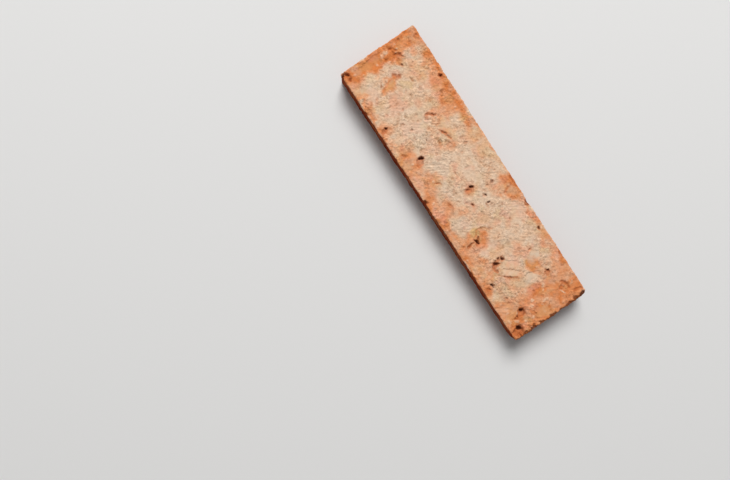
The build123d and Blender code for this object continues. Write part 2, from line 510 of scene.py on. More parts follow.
# %% Tint the film
FAINT_TINT = 0.5
TINT_SOFTNESS = 1.6
TINT_LOST_ON_SIDES = 0.8
TINTS = {  # along, across, length, width, turn, strength
    "rose": [
        (42, 22, 12, 11, 0, 0.7), (25, 35, 4, 7, -50, 1), (20, 46, 7, 6, 20, 0.7),
        (106, 33, 12, 4, -30, 0.8), (158, 45.5, 12, 6, -15, 0.9), (126, 36, 9, 11, 0, 0.5),
        (150, 27, 9, 7, 0, 0.6), (190, 43, 6, 7, -45, 0.8), (190, 33, 8, 4, 40, 0.7), (214, 33, 7, 7, 0, 1),
        (86, 28, 14, 8, 0, 0.4), (62, 28, 10, 8, 0, 0.5), (164, 57, 14, 10, 0, 0.5), (130, 4, 14, 7, 0, 1),
        (170, 63, 14, 4, 0, 0.7), (204, 62, 14, 5, 0, 0.6), (188, 50, 5, 4, 0, 0.8), (98, 4, 12, 6, 0, 0.7),
        (133, 26, 9, 5, 20, 0.6), (44, 53, 12, 8, 0, 0.6), (55, 50, 12, 6, 0, 0.6), (73, 9, 10, 8, 0, 0.6),
        (197, 19, 7, 6, 0, 0.5), (208, 10, 8, 5, 0, 0.5), (26, 13, 14, 10, 0, 0.4), (225, 22, 6, 7, 0, 0.5),
        (14, 9, 8, 8, 0, 0.6), (184, 38, 7, 9, -20, 0.5), (172, 20, 10, 16, 0, 0.5), (3, 12, 4, 6, 0, 0.7),
        (235, 10, 4, 8, 0, 0.6), (109, 22, 5, 4, 0, 0.6),
    ],
    "ochre": [
        (28, 26, 8, 6, -35, 0.8), (36, 38, 8, 6, 0, 0.9), (201, 41, 8, 5, 40, 0.6), (80, 58, 6, 6, 0, 1),
        (76, 20, 7, 7, 0, 0.4), (155, 40, 8, 5, 0, 0.7), (153, 31, 5, 4, 0, 0.6), (112, 60, 16, 8, 0, 0.6),
        (14, 17, 6, 6, 0, 0.5), (112, 25, 7, 7, 0, 0.4), (154.5, 19, 9, 6, -40, 1.6),
        (156, 26, 3, 10, -35, 0.8), (67, 32, 8, 4, 50, 0.6), (196, 56, 6, 4, 0, 0.7),
        (204, 14, 10, 8, 0, 0.5), (232, 17, 8, 6, 0, 0.8), (18, 62, 6, 4, 0, 0.6), (62, 57, 9, 7, 0, 0.5),
        (145, 60, 9, 5, 0, 0.4), (74, 11, 6, 6, 0, 0.5), (118, 12, 6, 3, 0, 0.7), (195, 39, 4, 6, -45, 0.8),
        (206, 26, 8, 8, 0, 0.4), (134, 34, 6, 5, 0, 0.3), (103, 9, 7, 6, 0, 0.3), (3, 15, 4, 6, 0, 0.7),
        (191, 16, 4, 3, 0, 0.8), (97, 57, 6, 8, 0, 0.5), (226, 54, 6, 4, 0, 0.4), (75, 42, 8, 6, 0, 0.4),
    ],
    "grey": [
        (195, 47.5, 7.5, 7, 30, 0.9), (207, 37.5, 5, 11, -20, 0.8), (19, 35, 5, 12, 0, 0.7),
        (97, 18, 9, 22, -25, 0.6), (116, 17, 8, 12, 0, 0.6), (143, 13, 9, 14, 0, 0.6),
        (20, 51, 4, 10, -20, 0.6), (22, 12, 13, 9, 0, 0.4), (66, 27, 24, 12, -15, 0.4),
        (122, 43, 14, 9, 0, 0.3), (152, 46, 12, 10, 0, 0.3), (82, 52, 9, 6, 0, 0.3),
        (200, 14, 5, 7, 20, 0.4), (56, 34, 12, 10, 0, 0.3), (150, 52, 6, 8, 0, 0.3),
        (181, 54, 6, 10, 0, 0.3),
    ],
}

tint = {}
for number, (name, places) in enumerate(TINTS.items()):
    tint[name] = FAINT_TINT * ease(0.12, 0.6, cloud(10, 3, seed=30 + number))
    for *place, strength in places:
        blob = ease(TINT_SOFTNESS, -TINT_SOFTNESS, outside(loose, *place))
        tint[name] = np.maximum(tint[name], strength * blob)
    tint[name] *= 1 - TINT_LOST_ON_SIDES * below_face
    print(name, "tints", round(100 * tint[name][up].mean()), "% of the face")

# %% [markdown]
# ## Worn saucers
#
# The face starts as two slow clouds, the waves that the mould left. Where the film and the skin of the
# clay have rubbed away, it lies lower in shallow dishes, a centimetre or two long. The measured block
# has the same dishes. They are pressed here to a share of their depth, because the skin's own relief
# adds to them. Each is a bowl: deepest in the middle and level with the face at its rim.

# %% Press the saucers
SAUCERS = [  # along, across, length, width, depth, turn
    (7.2, 21.5, 20, 9.6, 0.45, 90), (13, 55.3, 16, 9.6, 0.4, 15), (27.9, 24.8, 11.6, 7.4, 0.4, 145),
    (60.6, 55.3, 19, 11, 0.45, 0), (77.5, 8.5, 13.6, 8.8, 0.45, 60), (104.4, 9.2, 17, 10.6, 0.45, 0),
    (128, 11.1, 17, 10.8, 0.4, 0), (141, 56.6, 16, 10.4, 0.45, 0), (162.6, 18.9, 16, 10.4, 0.45, 20),
    (216.1, 33.2, 13, 8.6, 0.45, 110), (229.5, 48.1, 15.6, 10.2, 0.45, 80),
]
SAUCER_SHARE = 0.6
SLOW_WAVES, QUICK_WAVES = 0.08, 0.10

height = SLOW_WAVES * cloud(38, 2, seed=8) + QUICK_WAVES * cloud(9, 3, seed=9)
for *place, depth, turn in SAUCERS:
    height -= SAUCER_SHARE * depth * np.clip(1 - ring(point[:, :2], *place, turn) ** 2, 0, 1)
print("saucers:", len(SAUCERS), "and the lowest point so far, mm:", round(height.min(), 2))

# %% [markdown]
# ## The skin
#
# Several sizes of noise make the skin: crumbs, then grit, then sand. Crumbs and grit are the size of
# a cloud without its sign, which gives rounded tops with sharp creases between them. They are drawn
# out a little along the strokes of the limewash brush, and fade out on smooth crusts. The creases are
# kept as a mask, because dirt and shade gather there. Then come the strokes themselves, strongest
# where the real face shows them, and a thin crust that is raised where there is most lime.

# %% Find the smooth crusts
SMOOTH = [  # along, across, length, width, turn
    (7, 22, 9, 22, 0), (28, 25, 9, 8, -35), (24, 12, 15, 10, 0), (122, 44, 18, 9, 0),
    (195, 47.5, 7.5, 7, 30), (207, 37.5, 5.5, 12, -20), (233, 31, 9, 8, 0), (76, 43, 9, 7, 0),
    (172, 20, 10, 12, 0), (85, 14, 6, 10, 0), (64, 29, 14, 8, -15), (218, 43, 12, 12, 0),
    (219, 6, 9, 10, 0), (160, 56, 14, 8, 0), (231, 60, 10, 8, 0),
]
ROUGH_LEAST, ROUGH_MORE, SMOOTHED_AWAY = 0.55, 0.45, 0.75

rough = ROUGH_LEAST + ROUGH_MORE * ease(-0.15, 0.30, cloud(15, 3, seed=18))
for place in SMOOTH:
    rough *= 1 - SMOOTHED_AWAY * ease(1.2, -1.2, outside(loose, *place, power=3))
print("mean roughness of the skin:", round(rough[up].mean(), 2))

# %% Raise the crumbs
BRUSH_TURN = 50
LUMP_LIMIT = 0.4
CRUMB_RELIEF, GRIT_RELIEF, SAND_RELIEF = 0.70, 0.40, 0.24
CRUMB_CREASE, GRIT_CREASE, SAND_CREASE = 0.34, 0.24, 0.35

crumbs = np.minimum(np.abs(cloud(4.2, 3, seed=10, stretch=1.5, turn=BRUSH_TURN)), LUMP_LIMIT)
grit = np.minimum(np.abs(cloud(2.0, 2, seed=11, stretch=1.3, turn=BRUSH_TURN)), LUMP_LIMIT)
sand = cloud(1.7, 2, seed=14)
lumps = CRUMB_RELIEF * (crumbs - LUMP_LIMIT / 2) + GRIT_RELIEF * (grit - LUMP_LIMIT / 2)
height += rough * (lumps + SAND_RELIEF * sand)
# the crease mask later darkens the colour: dirt and painted shade in the creases
crease = CRUMB_CREASE * ease(0.09, 0.0, crumbs) + GRIT_CREASE * ease(0.08, 0.0, grit)
crease = rough * (crease + SAND_CREASE * ease(-0.15, -0.45, sand))
print("skin, mm:", round(height[up].min(), 2), "to", round(height[up].max(), 2))

# %% Draw the brush strokes
HATCHED = [  # along, across, length, width, turn
    (127, 53, 9, 6, 57), (131, 38, 8, 5, 57), (98, 20, 10, 20, 0), (149, 36, 10, 6, 57), (186, 37, 7, 9, 0),
    (92, 52, 10, 12, 0), (75, 52, 8, 12, 0), (160, 57, 12, 10, 0), (214, 8, 10, 7, 0), (64, 40, 10, 12, 0),
    (62, 30, 10, 8, 0), (152, 12, 10, 12, 0), (177, 52, 8, 14, 0), (118, 46, 6, 6, 0), (10, 8, 8, 6, 0),
]
HATCH_TURN = 56
FAINT_STROKES, STROKE_RELIEF = 0.25, 0.40
CRUST_ON_LIME, MIDDLING_LIME = 0.5, 0.6
CRUST_RELIEF, SIDE_DROP = 0.10, 0.15

strokes = np.full(len(point), FAINT_STROKES)
for place in HATCHED:
    strokes = np.maximum(strokes, ease(1.5, -1.5, outside(loose, *place)))
bristles = cloud(1.2, 1, seed=12, stretch=7, turn=HATCH_TURN)
height += STROKE_RELIEF * strokes * bristles * (1 - below_face)
crusty = cloud(5, 4, seed=13) + CRUST_ON_LIME * (lime - MIDDLING_LIME)
crust = ease(-0.06, 0.10, crusty) * (1 - below_face)
height += CRUST_RELIEF * crust - SIDE_DROP * below_face
print("brushed patches:", len(HATCHED))

# %% [markdown]
# ## Pits
#
# A blow hole is a steep-walled oval, deepest on one side, with a lit floor that keeps the colour of
# the clay. Its dark is mostly its own shadow, and painted shade darkens a core set towards the light.
# Each row is one hollow, measured on the face, and a big pit is a deep one and a shallow one side by side.

# %% Press the pits
CORE_ALONG, CORE_ACROSS = -0.3, 0.2  # where the core of painted shade lies from the middle of its pit, towards the light
CORE_LENGTH, CORE_WIDTH = 0.8, 0.6  # its shares of the pit's length and width

crooked = pushed(3.0, 1.7, seed=16)
bent = (point[:, :2] + crooked) / 2
hollow, stain = np.zeros(len(point)), np.zeros(len(point))


def press(along, across, length, width, depth, turn, painted_shade, rust=0.8, wall=0.9):
    """Presses a pit into the face, paints shade into its core, set towards the light, and marks its rusty
    rim.
    """
    gap = outside(bent, along, across, length, width, turn)
    core_at = along + CORE_ALONG, across + CORE_ACROSS
    core = outside(bent, *core_at, CORE_LENGTH * length, CORE_WIDTH * width, turn)
    height[:] -= depth * ease(0.3, -wall, gap) * up
    hollow[:] = np.maximum(hollow, painted_shade * ease(0.6, -0.8, core) * up)
    stain[:] = np.maximum(stain, rust * ease(1.1, -0.3, gap) * up)


PITS = {  # along, across, length, width, depth, turn, painted shade, rust
    "left hollow": (86.7, 15.4, 4.4, 2.5, 1.6, 58, 0.4, 1),
    "left hollow floor": (88.5, 12.9, 6.4, 5.2, 1.1, 135, 0.05, 0.8),
    "middle hole": (125.2, 35.2, 3, 1.8, 1.3, 64, 0.3, 1),
    "middle pock 1": (127.3, 33.4, 2.6, 2, 0.9, 30, 0.5, 0.9),
    "middle pock 2": (126.1, 31.9, 2.2, 1.8, 0.8, 60, 0.5, 0.8),
    "middle floor": (127, 33.2, 6.4, 4.6, 0.4, 115, 0.05, 0.8),
    "middle twin": (137, 41.1, 3.4, 2.3, 1.3, 24, 1, 0.4),
    "middle small": (142.9, 39.8, 2.5, 2, 1.4, 50, 1, 0.4),
    "upper middle": (131.5, 50.4, 2.8, 2, 1.2, 78, 0.6, 0.6),
    "red speck": (137.7, 28.8, 2.6, 1.9, 0.9, 150, 0.7, 0.8),
    "edge hole head": (43.6, 61.6, 3, 2.4, 1.6, 95, 0.8, 1),
    "edge hole left": (53.5, 5.9, 2.8, 2, 1.7, 75, 0.9, 1),
    "edge hole left floor": (54.6, 3.9, 3.8, 2.8, 0.8, 110, 0.15, 1),
    "edge hole tail": (180.1, 60.6, 2.8, 1.9, 1.5, 5, 0.9),
    "head edge": (3, 49.7, 2.6, 2, 1, 98, 0.35, 1),
    "head brown": (13.2, 44.5, 4.6, 2.2, 1, 24, 0.4, 0.9),
    "head dark": (20.4, 41.6, 3, 2.2, 1.1, 43, 0.6, 0.7),
    "head top": (7.4, 62.4, 2.6, 1.7, 0.6, 43, 0.1, 0.9),
    "red gouge": (24.2, 32.8, 4.4, 2.6, 0.6, 40, 0.1, 0.9),
    "red gouge end": (25.9, 35.6, 3, 2.2, 0.7, 100, 0.3, 1),
    "red gouge side": (27.2, 33.4, 3, 1.8, 0.4, 140, 0, 0.7),
    "head crumb 1": (8.6, 43.6, 3, 1.6, 0.6, 20, 0.3, 0.8),
    "head crumb 2": (11.2, 41, 2.8, 1.6, 0.6, 100, 0.3, 0.9),
    "head crumb 3": (14.8, 45.4, 2.6, 1.6, 0.8, 20, 0.5, 0.9),
    "head crumb 4": (5.4, 41.2, 2.6, 1.6, 0.5, 60, 0.15, 0.8),
    "head crumb 5": (15.6, 41.8, 2.2, 1.5, 0.6, 40, 0.3, 0.8),
    "head fissure": (79.8, 39.8, 6.6, 2, 0.9, 30, 0.35, 1),
    "speck 65": (65.4, 21.7, 2.6, 1.9, 1.1, 52, 0.7, 0.2),
    "grey speck": (78.1, 26.4, 2.5, 1.8, 0.9, 160, 0.6, 0.2),
    "brown streak": (61.6, 37.2, 3, 2.2, 0.7, 70, 0.3, 0.9),
    "brown streak 2": (64.2, 40.6, 2.6, 1.8, 0.6, 30, 0.2, 0.8),
    "brown streak 3": (63.6, 36, 2.6, 1.4, 0.5, 20, 0.1, 0.7),
    "left dip": (78, 6.2, 4.4, 3, 0.6, 80, 0.15, 0.8),
    "grey mark": (102.4, 32.4, 3.2, 2.2, 0.7, 129, 0.3, 0.2),
    "left brown": (109.1, 15.8, 4.6, 1.8, 0.7, 45, 0.2, 0.8),
    "left pock": (104.4, 8.4, 4.4, 3, 0.4, 17, 0, 0.25),
    "brown dip": (128.6, 15.1, 5.4, 2, 0.6, 12, 0.2, 0.8),
    "cluster core": (162.7, 16.2, 4, 2.4, 1.5, 15, 0.5, 1),
    "cluster rim": (160.8, 18.6, 3.8, 1.8, 0.9, 140, 0.4, 1),
    "cluster arm": (164, 14.8, 2.6, 1.2, 0.7, 150, 0.5, 0.9),
    "tail speck": (161.8, 46.3, 2.6, 1.9, 0.8, 149, 0.4, 0.4),
    "green hole": (195.9, 7.8, 3.6, 2.8, 1.4, 35, 1, 0.4),
    "green lobe": (197.8, 8, 2.2, 1.4, 0.9, 0, 0.8, 0.3),
    "green dip": (197.2, 4.6, 3.4, 2, 0.6, 30, 0, 0.8),
    "streak 189": (189.3, 46.3, 3.6, 1.6, 0.9, 106, 0.6, 0.4),
    "tail hole": (209.8, 49.6, 3.4, 1.9, 1.6, 37, 0.9, 1),
    "tail hole floor": (210.9, 47.4, 5, 3.8, 0.6, 101, 0.1, 0.8),
    "ring floor": (224.8, 15.2, 5.6, 5, 0.9, 60, 0, 0.4),
    "ring shade": (223.6, 16, 4.2, 4.8, 0.6, 55, 0.95, 1),
    "ring end 1": (225.8, 11, 2.6, 1.9, 1, 10, 0.8, 1),
    "ring end 2": (226.3, 8.8, 2, 1.5, 0.8, 10, 0.4, 0.8),
    "speck 211": (210.2, 11.6, 3.2, 2, 0.7, 33, 0.3, 0.5),
    "corner floor": (235, 5.6, 8.4, 7.2, 1.6, 60, 0.15, 1),
    "corner shade": (233.4, 6.9, 6, 6.8, 0.7, 57, 1, 1),
    "corner rim": (237.4, 5.4, 5, 1.8, 0.3, 85, 0.25, 1),
    "upper crescent": (183.1, 24.8, 2.6, 3.1, 1.3, 60, 1, 0.9),
    "upper crescent tail": (181.9, 22.7, 2.2, 2.6, 1.1, 60, 1, 0.9),
    "lower crescent": (183.7, 18.6, 4.4, 4.6, 1.3, 20, 1, 0.9),
    "lower crescent arm": (185.5, 20.8, 3.2, 1.6, 1, 82, 0.6, 0.9),
    "lower crescent lobe": (182.2, 19.9, 1.8, 1.3, 0.9, 130, 0.6, 0.9),
    "crescent lip": (186, 16.6, 4.6, 3, 0.6, 140, 0.15, 0.7),
    "head corner floor": (3.7, 3.5, 4.4, 3.8, 1.4, 50, 0, 1),
    "head corner crumb": (8, 3.6, 3.2, 2.4, 1.2, 150, 0.5, 1),
    "head corner crumb 2": (6, 5, 2.4, 1.6, 0.7, 20, 0.3, 1),
}
for pit in PITS.values():
    press(*pit)
print("pits:", len(PITS), "the lowest point of the face, mm:", round(height.min(), 2))

# %% [markdown]
# ## Marks and cracks
#
# Most dark specks in the film are only creases where a crumb has dropped out: shallow, greyish and
# soft. Cracks and the curved lips of ring-shaped pits are lines between places on the face.

# %% Press the marks
MARKS = [  # along, across, length, width, turn, strength
    (8, 55.9, 5, 1.5, 160, 0.6), (4.6, 39.8, 6, 2.2, 30, 0.4), (10.4, 42, 7, 1.4, 35, 0.7),
    (13, 42.6, 5, 1.5, 100, 0.4), (10.9, 33.6, 3.4, 2.4, 130, 0.6), (14.4, 51.1, 2, 1.5, 64, 0.5),
    (24.6, 21.1, 5.4, 1, 147, 0.6), (32.8, 32, 4.6, 1.2, 42, 0.9), (33.2, 42.2, 5.6, 1.3, 22, 0.8),
    (32.6, 50.4, 2.3, 1.8, 98, 0.6), (42.6, 34.9, 2.3, 1.8, 38, 0.7), (42.9, 22.3, 3, 2.2, 79, 0.6),
    (41.4, 17.1, 3, 1.8, 60, 0.6), (34.9, 3.6, 6, 2, 140, 0.5), (44.4, 9.6, 2.8, 1.7, 10, 0.6),
    (49.1, 24.1, 3.4, 1.4, 145, 0.5), (53.4, 17.9, 5, 1.2, 104, 0.4), (49.6, 19.9, 3.2, 1.8, 35, 0.5),
    (53.1, 55.5, 2.8, 1.7, 129, 0.7), (54.2, 22.6, 3, 1.5, 26, 0.8), (55.2, 14.6, 6.6, 1.6, 118, 0.5),
    (57.6, 18.6, 3.6, 1.5, 75, 0.7), (59.6, 6.6, 2.9, 1.5, 63, 0.5), (61.6, 54, 1.8, 1.5, 0, 0.5),
    (65.4, 22.6, 5.4, 1.6, 58, 0.3), (64, 39.6, 5.6, 1.6, 40, 0.4), (76.6, 11.2, 2.3, 1.5, 138, 0.6),
    (70.4, 12.6, 3, 1.6, 112, 0.5), (75.6, 28, 6, 1.2, -35, 0.5), (83.9, 33.4, 2.6, 1.8, 158, 0.8),
    (88.2, 39.5, 6.2, 1.2, 24, 0.8), (91.1, 41.1, 5, 1.2, 42, 0.4), (85.9, 35.1, 3, 1.4, 32, 0.5),
    (95.4, 49.4, 3, 1.4, 60, 0.5), (91.3, 52, 7, 1.3, 62, 0.4), (85.6, 42.6, 5, 1.5, 170, 0.4),
    (109.9, 30.9, 2.8, 1.6, 174, 0.8), (105.1, 50.4, 2.9, 1.6, 16, 0.5), (110.4, 56.4, 3.3, 1.8, 145, 0.5),
    (113.1, 51.6, 2, 1.5, 0, 0.5), (102.4, 15.9, 3, 1.5, 129, 0.4), (123.1, 23.1, 3.2, 1.3, 20, 0.7),
    (121, 23.6, 3.6, 2.4, 134, 0.4), (124.9, 56.9, 2, 1.5, 149, 0.5), (129.4, 21.6, 3, 2, 22, 0.6),
    (133.9, 13.6, 4.2, 2.4, 152, 0.6), (127.1, 45.6, 1.8, 1.4, 0, 0.4), (124, 17.6, 3.1, 1.5, 128, 0.4),
    (143, 38, 3.6, 1.4, 125, 0.7), (142.6, 54.2, 2.4, 1.5, 70, 0.4), (151, 35.4, 4, 1.2, 26, 0.6),
    (158, 44.2, 5, 1.3, 17, 0.4), (174.4, 38.6, 2.5, 1.7, 74, 0.5), (175.9, 35.1, 2.6, 2, 151, 0.5),
    (176.4, 30.9, 4.2, 1.4, 130, 0.5), (162.1, 10.8, 6, 1.5, 84, 1), (149.4, 11.8, 3, 1.6, 60, 0.5),
    (184.4, 40.6, 4, 1.4, 40, 0.6), (186.6, 38, 5.6, 1.2, 52, 0.4), (185.4, 35.2, 3.4, 1.2, 50, 0.4),
    (177.6, 58, 4, 1.2, 100, 0.4), (189.5, 51.4, 4.6, 1.6, 10, 0.4), (194, 28.6, 3.2, 1.2, 50, 0.6),
    (201, 16.4, 4, 1.6, 100, 0.5), (204.6, 9.6, 4.8, 1.4, 30, 0.6), (199.6, 22.4, 3.6, 1.2, 130, 0.4),
    (212.8, 61, 2.6, 1.9, 136, 0.7), (216.6, 32, 2.6, 1.6, 106, 0.7), (219.6, 29.4, 4.4, 1.2, 150, 0.4),
    (217, 17, 3, 1.2, 60, 0.4), (213.4, 10.6, 2, 1.6, 0, 0.5), (230.8, 23.4, 3, 1.3, 30, 0.8),
    (235.6, 34.4, 5, 1.2, 140, 0.4), (234.4, 58.6, 6, 1.2, 80, 0.5), (226, 8.6, 2.6, 1.6, 0, 0.7),
    (236.4, 14.6, 4, 1.2, 30, 0.6), (224.6, 20.2, 4.6, 1.4, 40, 0.5), (30.6, 62, 4.6, 2, 40, 0.5),
    (17, 7, 3, 1.5, 20, 0.4), (137, 25, 4.6, 1.4, 50, 0.4),
]
MARK_DEPTH = 0.45

for *place, strength in MARKS:
    gap = outside(crooked, *place)
    height -= MARK_DEPTH * strength * ease(0.35, -0.6, gap) * up
    # the marks darken the crease mask too: dirt and painted shade
    crease = np.maximum(crease, strength * ease(0.4, -0.5, gap) * up)
print("marks:", len(MARKS))


# %% Cut the cracks
CRACK_FRAY, RUST_SPREAD = 0.2, 0.3


def score(run, width, depth, painted_shade, rust):
    """Cuts a crack along straight runs between places on the face."""
    nearest = np.full(len(point), np.inf)
    for start, end in zip(run, run[1:]):
        start, end = landed(bent, *start), landed(bent, *end)
        span = end - start
        share = np.clip((bent - start) @ span / (span @ span), 0, 1)
        nearest = np.minimum(nearest, np.hypot(*(bent - start - share[:, None] * span).T))
    shape = ease(0.5 * width + CRACK_FRAY, 0.1 * width, nearest) * up
    height[:] -= depth * shape
    # painted shade along the dark of the crack
    hollow[:] = np.maximum(hollow, painted_shade * shape)
    rusty = ease(0.8 * width + RUST_SPREAD, 0.3 * width, nearest)
    stain[:] = np.maximum(stain, rust * rusty * up)


CRACKS = {  # places along and across, width, depth, painted shade, rust
    "left hollow": ([(85.6, 14.1), (86.4, 15.3), (87.8, 16.9)], 1.7, 0.9, 1, 1),
    "middle hole": ([(124.6, 34.7), (125.8, 36.4)], 1.3, 0.7, 1, 1),
    "middle floor": ([(127, 36.2), (128.6, 34.4), (127.4, 31.6), (125.4, 31)], 1.2, 0.3, 0.1, 0.9),
    "middle curl": ([(142.2, 37.3), (143.6, 38.4), (145, 37.8)], 0.9, 0.4, 0.2, 0.4),
    "cluster star": ([(160.6, 15.4), (162, 16.4), (163.6, 16.4), (164.4, 17)], 1.4, 0.8, 0.9, 1),
    "cluster lip": ([(159.2, 19.4), (161, 18), (162.6, 17.4)], 1.1, 0.5, 0.4, 0.9),
    "cluster trail": ([(161.6, 14.2), (161.4, 11.4), (162.2, 8)], 1.3, 0.6, 0.3, 0.8),
    "ochre crack": (
        [(160.2, 31.4), (158.8, 28.6), (155.2, 24.4), (155, 20.4), (158, 17.8)],
        1.3, 0.5, 0.1, 0.6,
    ),
    "crescent hook": ([(184.6, 17.4), (186, 15.8), (187.8, 16.2), (189.6, 17.2)], 1.4, 0.6, 0.25, 1),
    "ring": (
        [(222.4, 14.4), (223, 16.8), (225, 17.6), (226.8, 16.9), (227.3, 15), (226.4, 13.2)],
        1.3, 0.5, 0.35, 1,
    ),
    "ring foot": ([(222.6, 13.8), (224.4, 12.4), (226.2, 12.6)], 1.4, 0.5, 0.2, 1),
    "tail loop": ([(234.2, 57.4), (233.6, 60), (234.2, 62.8), (235.6, 63.6)], 1.2, 0.4, 0.15, 1),
    "tail arc": ([(222.6, 53.4), (224.6, 54.8), (226.6, 55.9), (229.4, 55.4)], 1.7, 0.8, 0.25, 1),
    "tail chord": ([(224.4, 53.4), (225.4, 51), (226.8, 49.6)], 2, 0.6, 0.1, 0.9),
    "left scratch": ([(31, 8), (34.2, 5.6), (38.4, 3)], 0.9, 0.3, 0, 0.5),
    "fissure": ([(76.6, 38.8), (84.4, 41.6), (87, 42.6)], 1.2, 0.4, 0, 0.8),
    "brown streak": ([(61.6, 38.6), (63.4, 39), (65.6, 42.4)], 1.1, 0.4, 0, 0.9),
    "see-through edge": ([(21.4, 22.4), (23.6, 20.9), (26, 19.8)], 0.7, 0.3, 0.3, 0.5),
    "head corner": ([(2.4, 3), (3, 4.2), (4.6, 5)], 1.4, 0.8, 0.6, 1),
    "cheek line": ([(140.6, 62), (141.6, 58), (143.2, 54.6)], 1, 0.3, 0.05, 0.7),
}
for crack in CRACKS.values():
    score(*crack)
print("cracks:", len(CRACKS))

# %% [markdown]
# ## Mortar flakes
#
# Tongues of old mortar lie on the film like fallen leaves. Each is smooth, and its lower long edge
# stands proud, away from the light, so it throws a thin shadow. A flake replaces the skin under it
# instead of adding to it, and short cracks along its edges part it from the film.

# %% Lay the mortar flakes
FLAKES = [  # along, across, length, width, turn, lift of the lower edge
    (190.6, 28.6, 12, 6, 53, 0.3), (195.8, 24.4, 14, 5.6, 49, 0.5), (207.2, 37.4, 11.5, 5.2, 68, 0.16),
    (195.2, 47.6, 8, 6.4, 50, 0.14),
]
FLAKE_EDGES = [  # places along and across, width, depth, painted shade, rust
    ([(192.6, 16.6), (195.4, 19.6)], 0.8, 0.25, 0, 0.5),
    ([(195.4, 19.6), (198.4, 23.2)], 1.0, 0.45, 0.2, 1.0),
    ([(198.4, 23.2), (201.6, 27.6)], 0.8, 0.35, 0, 0.9),
    ([(189.8, 21.6), (194.4, 28.2)], 0.7, 0.2, 0, 0.3),
]
FLAKE_THICKNESS, SKIN_KEPT = 0.05, 0.15
SKIN_HIDDEN, STAIN_HIDDEN = 0.9, 0.6

for along, across, length, width, turn, lift in FLAKES:
    plate = ease(0.15, -0.35, outside(bent, along, across, length, width, turn, power=5))
    _, rise = turned(turn, point[:, :2] - spot(along, across))
    top = FLAKE_THICKNESS + lift * np.clip(0.5 - rise / width, 0, 1)
    height += (top + SKIN_KEPT * height - height) * plate * up
    crease *= 1 - SKIN_HIDDEN * plate
    stain *= 1 - STAIN_HIDDEN * plate
    rough *= 1 - SKIN_HIDDEN * plate
# the edge cracks are rusty, and the lower edge gets a little painted shade where the flake's shadow falls
for edge_of_flake in FLAKE_EDGES:
    score(*edge_of_flake)
print("mortar flakes:", len(FLAKES))

# %% [markdown]
# ## The broken arris
#
# The arris has lost bites at two corners, in the middle of both long sides and along the tail, where
# the broken clay is dark red and painted shade darkens it further. A bite is an oval on the face that
# also fades out down the wall. Along the whole tail a ragged strip is gone as well, and its inner edge
# follows a cloud.

# %% Bite the arris
CHIPS = [  # along, across, bite, reach in, drop, depth, turn
    (2.8, -0.6, 3.4, 1.5, 3.4, 1.6, 0), (0.4, 2.4, 3.8, 1.4, 2, 0.6, 86),
    (115.4, 0.2, 4.8, 2.6, 3.4, 1.1, 12), (159.6, 64.6, 5.6, 3.4, 3, 1.3, -4),
    (239.9, 61, 9, 2.8, 3, 1, 94), (239, 55.4, 4, 2.2, 2, 0.8, 80), (239.9, 48.9, 8, 2.8, 2.4, 0.7, 92),
    (240.6, 41, 3.6, 1.1, 2, 0.4, 90), (240.4, 26.7, 2.6, 1.5, 2.6, 1, 92),
    (239.8, 17.2, 7.6, 3.2, 3.4, 0.9, 86), (240.4, 1.2, 4, 1.4, 2.4, 0.5, 60),
    (60, -0.4, 7, 1, 1.6, 0.4, 0), (180, -0.4, 8, 1, 1.6, 0.4, 0), (36, -0.4, 6, 1.2, 1.8, 0.4, 0),
    (205, 65.4, 9, 1, 1.5, 0.3, 0), (138, 65.4, 10, 1.1, 1.5, 0.3, 0),
]
CHIP_SHADE = 0.75

for along, across, bite, reach_in, drop, depth, turn in CHIPS:
    flat = ring(crooked, along, across, bite, 2 * reach_in, turn)
    distance = np.hypot(flat, (THICKNESS - point[:, 2]) / drop)
    shape = ease(1.0, 0.4, distance)
    height -= depth * shape
    # painted shade in the bite, besides the red of the broken clay in the stain
    hollow = np.maximum(hollow, CHIP_SHADE * shape * min(depth, 1))
    stain = np.maximum(stain, ease(1.15, 0.7, distance))
print("bites:", len(CHIPS))

# %% Break the tail arris
RAGGEDNESS = 2.6
STRIP_INNER, STRIP_OUTER = 2.0, 0.9
STRIP_DEPTH, STRIP_SHADE = 0.35, 0.62

ragged = LENGTH / 2 - point[:, 0] + RAGGEDNESS * cloud(3.0, 3, seed=19)
broken = ease(STRIP_INNER, STRIP_OUTER, ragged) * (1 - below_face)
height -= STRIP_DEPTH * broken
# painted shade along the broken tail arris, which faces away from the light
hollow = np.maximum(hollow, STRIP_SHADE * broken)
stain = np.maximum(stain, broken)
print("points in the broken strip:", (broken > 0.5).sum())

# %% [markdown]
# ## Pinholes and crumbs
#
# Fired clay is peppered with pinholes, and pale crumbs of lime and sand cling to it. Nobody can tell
# one from another, so most come from a seeded draw, which gives the same slip on every run. The few
# crumbs that stand out on the real face are listed.

# %% Prick the pinholes
PINHOLES = 110
DRAWN_ALONG, DRAWN_ACROSS = (2, 238), (2, 63)  # clear of the edges

draw = np.random.default_rng(7)


def drawn_place():
    """A place somewhere on the face."""
    return draw.uniform(*DRAWN_ALONG), draw.uniform(*DRAWN_ACROSS)


for _ in range(PINHOLES):
    place, size = drawn_place(), draw.uniform(0.9, 1.6)
    length, depth, turn = size * draw.uniform(1, 2), draw.uniform(0.2, 0.5), draw.uniform(0, 180)
    # a little painted shade in each pinhole
    press(*place, length, size, depth, turn, painted_shade=0.25, rust=0.3, wall=0.5)
print("pinholes:", PINHOLES)

